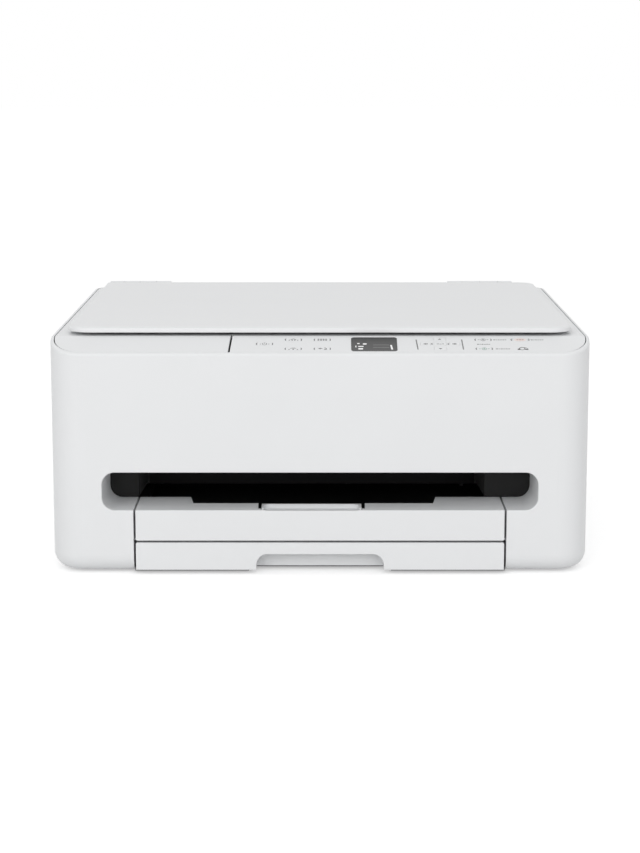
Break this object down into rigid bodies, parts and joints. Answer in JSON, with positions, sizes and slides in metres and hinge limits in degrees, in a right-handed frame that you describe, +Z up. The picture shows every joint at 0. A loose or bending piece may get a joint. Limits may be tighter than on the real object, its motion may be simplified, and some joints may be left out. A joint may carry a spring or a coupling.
{
  "type": "multifunction printer",
  "caption": "Flat white desktop inkjet printer and scanner: hinged lid, lifting scanner, sloped key strip, front output slot, sliding output tray and paper cassette.",
  "frame": {"origin": "bottom centre of the whole machine, on the plane its feet rest on", "axes": "+X to the machine's right seen from the front, +Y to its rear, +Z up"},
  "size_m": [0.378, 0.345, 0.1727],
  "materials": {
    "case_white": "satin, slightly cool white moulding",
    "case_white_rear": "satin, ribbed white cover",
    "key_white": "satin white key caps",
    "grey_plastic": "matt grey inner moulding",
    "dark_plastic": "matt dark grey inner moulding",
    "black_plastic": "matt black inner moulding",
    "cartridge_black": "semi-gloss black cartridge body",
    "foam_white": "soft white backing sheet",
    "foot_rubber": "soft grey-black rubber",
    "belt_rubber": "toothed rubber",
    "roller_rubber": "ground rubber",
    "steel_sheet": "plated sheet steel",
    "shaft_steel": "ground shaft",
    "motor_steel": "plated motor can",
    "board_green": "solder-masked circuit board",
    "clear_glass": "clear float glass",
    "screen_dark": "dark window, low gloss"
  },
  "bodies": {
    "base": {"outer_shell": "case_white", "base_pan": "grey_plastic", "rubber_feet": "foot_rubber", "slot_liner": "black_plastic", "inner_deck": "dark_plastic", "print_frame": "steel_sheet", "print_platen": "black_plastic", "drive_motors": "motor_steel", "maintenance_station": "grey_plastic", "carriage_belt": "belt_rubber", "feed_belt": "belt_rubber", "main_board": "board_green", "power_unit": "black_plastic", "rear_cover": "case_white_rear", "rear_chute": "black_plastic", "rear_top_cover": "case_white"},
    "scanner_unit": {"scanner_top_plate": "case_white", "platen_glass": "clear_glass", "scanner_tub": "dark_plastic", "scan_rail": "shaft_steel", "support_stay": "grey_plastic", "control_panel": "case_white", "display_window": "screen_dark"},
    "scan_head": {"scan_head": "black_plastic"},
    "lid": {"lid_cover": "case_white", "lid_pad": "foam_white"},
    "power_key": {"power_key": "key_white"},
    "function_key_1": {"function_key_1": "key_white"},
    "function_key_2": {"function_key_2": "key_white"},
    "function_key_3": {"function_key_3": "key_white"},
    "function_key_4": {"function_key_4": "key_white"},
    "up_key": {"up_key": "key_white"},
    "left_key": {"left_key": "key_white"},
    "ok_key": {"ok_key": "key_white"},
    "right_key": {"right_key": "key_white"},
    "down_key": {"down_key": "key_white"},
    "start_key_1": {"start_key_1": "key_white"},
    "start_key_2": {"start_key_2": "key_white"},
    "stop_key": {"stop_key": "key_white"},
    "carriage": {"carriage": "black_plastic", "black_cartridge": "cartridge_black", "colour_cartridge": "cartridge_black"},
    "latch_black": {"latch_black": "grey_plastic"},
    "latch_colour": {"latch_colour": "grey_plastic"},
    "motor_pulley": {"motor_pulley": "grey_plastic"},
    "idler_pulley": {"idler_pulley": "grey_plastic"},
    "feed_roller": {"feed_roller": "roller_rubber"},
    "exit_roller": {"exit_roller": "roller_rubber"},
    "pickup_arm": {"pickup_arm": "grey_plastic"},
    "pickup_roller": {"pickup_roller": "roller_rubber"},
    "output_tray": {"output_tray": "case_white", "output_deck": "black_plastic"},
    "output_stop": {"output_stop": "case_white"},
    "cassette": {"cassette": "case_white"},
    "cassette_guide_left": {"cassette_guide_left": "grey_plastic"},
    "cassette_guide_right": {"cassette_guide_right": "grey_plastic"},
    "cassette_length_guide": {"cassette_length_guide": "grey_plastic"},
    "paper_support": {"paper_support": "case_white"},
    "rear_guide_left": {"rear_guide_left": "grey_plastic"},
    "rear_guide_right": {"rear_guide_right": "grey_plastic"}
  },
  "joints": [
    {"name": "scanner_hinge", "type": "hinge", "parent": "base", "child": "scanner_unit", "pos_m": [0, 0.1545, 0.1683], "axis": [-1, 0, 0], "range_deg": [0, 27]},
    {"name": "lid_hinge", "type": "hinge", "parent": "scanner_unit", "child": "lid", "pos_m": [0, 0.1545, 0.1683], "axis": [-1, 0, 0], "range_deg": [0, 78]},
    {"name": "scan_slide", "type": "slide", "parent": "scanner_unit", "child": "scan_head", "axis": [1, 0, 0], "range_m": [0, 0.3]},
    {"name": "power_key_press", "type": "slide", "parent": "scanner_unit", "child": "power_key", "axis": [0, 0.3454, -0.9385], "range_m": [0, 0.0006], "stiffness_N_per_m": 300},
    {"name": "function_key_1_press", "type": "slide", "parent": "scanner_unit", "child": "function_key_1", "axis": [0, 0.3454, -0.9385], "range_m": [0, 0.0006], "stiffness_N_per_m": 300},
    {"name": "function_key_2_press", "type": "slide", "parent": "scanner_unit", "child": "function_key_2", "axis": [0, 0.3454, -0.9385], "range_m": [0, 0.0006], "stiffness_N_per_m": 300},
    {"name": "function_key_3_press", "type": "slide", "parent": "scanner_unit", "child": "function_key_3", "axis": [0, 0.3454, -0.9385], "range_m": [0, 0.0006], "stiffness_N_per_m": 300},
    {"name": "function_key_4_press", "type": "slide", "parent": "scanner_unit", "child": "function_key_4", "axis": [0, 0.3454, -0.9385], "range_m": [0, 0.0006], "stiffness_N_per_m": 300},
    {"name": "up_key_press", "type": "slide", "parent": "scanner_unit", "child": "up_key", "axis": [0, 0.3454, -0.9385], "range_m": [0, 0.0006], "stiffness_N_per_m": 300},
    {"name": "left_key_press", "type": "slide", "parent": "scanner_unit", "child": "left_key", "axis": [0, 0.3454, -0.9385], "range_m": [0, 0.0006], "stiffness_N_per_m": 300},
    {"name": "ok_key_press", "type": "slide", "parent": "scanner_unit", "child": "ok_key", "axis": [0, 0.3454, -0.9385], "range_m": [0, 0.0006], "stiffness_N_per_m": 300},
    {"name": "right_key_press", "type": "slide", "parent": "scanner_unit", "child": "right_key", "axis": [0, 0.3454, -0.9385], "range_m": [0, 0.0006], "stiffness_N_per_m": 300},
    {"name": "down_key_press", "type": "slide", "parent": "scanner_unit", "child": "down_key", "axis": [0, 0.3454, -0.9385], "range_m": [0, 0.0006], "stiffness_N_per_m": 300},
    {"name": "start_key_1_press", "type": "slide", "parent": "scanner_unit", "child": "start_key_1", "axis": [0, 0.3454, -0.9385], "range_m": [0, 0.0006], "stiffness_N_per_m": 300},
    {"name": "start_key_2_press", "type": "slide", "parent": "scanner_unit", "child": "start_key_2", "axis": [0, 0.3454, -0.9385], "range_m": [0, 0.0006], "stiffness_N_per_m": 300},
    {"name": "stop_key_press", "type": "slide", "parent": "scanner_unit", "child": "stop_key", "axis": [0, 0.3454, -0.9385], "range_m": [0, 0.0006], "stiffness_N_per_m": 300},
    {"name": "carriage_slide", "type": "slide", "parent": "base", "child": "carriage", "axis": [-1, 0, 0], "range_m": [0, 0.265]},
    {"name": "motor_pulley_turn", "type": "hinge", "parent": "base", "child": "motor_pulley", "pos_m": [0.16, 0.0415, 0.096], "axis": [0, 1, 0], "continuous": true},
    {"name": "idler_pulley_turn", "type": "hinge", "parent": "base", "child": "idler_pulley", "pos_m": [-0.16, 0.0415, 0.096], "axis": [0, 1, 0], "continuous": true},
    {"name": "latch_black_hinge", "type": "hinge", "parent": "carriage", "child": "latch_black", "pos_m": [0.1205, -0.008, 0.1065], "axis": [-1, 0, 0], "range_deg": [0, 22]},
    {"name": "latch_colour_hinge", "type": "hinge", "parent": "carriage", "child": "latch_colour", "pos_m": [0.1525, -0.008, 0.1065], "axis": [-1, 0, 0], "range_deg": [0, 22]},
    {"name": "feed_roller_turn", "type": "hinge", "parent": "base", "child": "feed_roller", "pos_m": [0, 0.024, 0.0635], "axis": [1, 0, 0], "continuous": true},
    {"name": "exit_roller_turn", "type": "hinge", "parent": "base", "child": "exit_roller", "pos_m": [0, -0.058, 0.063], "axis": [1, 0, 0], "continuous": true},
    {"name": "pickup_arm_hinge", "type": "hinge", "parent": "base", "child": "pickup_arm", "pos_m": [-0.006, 0.062, 0.05], "axis": [-1, 0, 0], "range_deg": [0, 21]},
    {"name": "pickup_roller_turn", "type": "hinge", "parent": "pickup_arm", "child": "pickup_roller", "pos_m": [-0.006, 0.105, 0.031], "axis": [1, 0, 0], "continuous": true},
    {"name": "output_tray_slide", "type": "slide", "parent": "base", "child": "output_tray", "axis": [0, -1, 0], "range_m": [0, 0.14]},
    {"name": "output_stop_hinge", "type": "hinge", "parent": "output_tray", "child": "output_stop", "pos_m": [-0.006, -0.1689, 0.0422], "axis": [1, 0, 0], "range_deg": [0, 105]},
    {"name": "cassette_slide", "type": "slide", "parent": "base", "child": "cassette", "axis": [0, -1, 0], "range_m": [0, 0.2]},
    {"name": "guide_left_slide", "type": "slide", "parent": "cassette", "child": "cassette_guide_left", "axis": [1, 0, 0], "range_m": [0, 0.055]},
    {"name": "guide_right_slide", "type": "slide", "parent": "cassette", "child": "cassette_guide_right", "axis": [1, 0, 0], "range_m": [-0.055, 0]},
    {"name": "guide_length_slide", "type": "slide", "parent": "cassette", "child": "cassette_length_guide", "axis": [0, 1, 0], "range_m": [0, 0.14]},
    {"name": "paper_support_slide", "type": "slide", "parent": "base", "child": "paper_support", "axis": [0, 0.342, 0.9397], "range_m": [0, 0.05]},
    {"name": "rear_guide_left_slide", "type": "slide", "parent": "base", "child": "rear_guide_left", "axis": [1, 0, 0], "range_m": [0, 0.055]},
    {"name": "rear_guide_right_slide", "type": "slide", "parent": "base", "child": "rear_guide_right", "axis": [1, 0, 0], "range_m": [-0.055, 0]}
  ],
  "couplings": [
    {"joint": "motor_pulley_turn", "follows": "carriage_slide", "rad_per_m": 145.99},
    {"joint": "idler_pulley_turn", "follows": "carriage_slide", "rad_per_m": 145.99},
    {"joint": "exit_roller_turn", "follows": "feed_roller_turn", "ratio": 1},
    {"joint": "pickup_roller_turn", "follows": "feed_roller_turn", "ratio": 0.625},
    {"joint": "guide_right_slide", "follows": "guide_left_slide", "ratio": -1},
    {"joint": "rear_guide_right_slide", "follows": "rear_guide_left_slide", "ratio": -1}
  ]
}
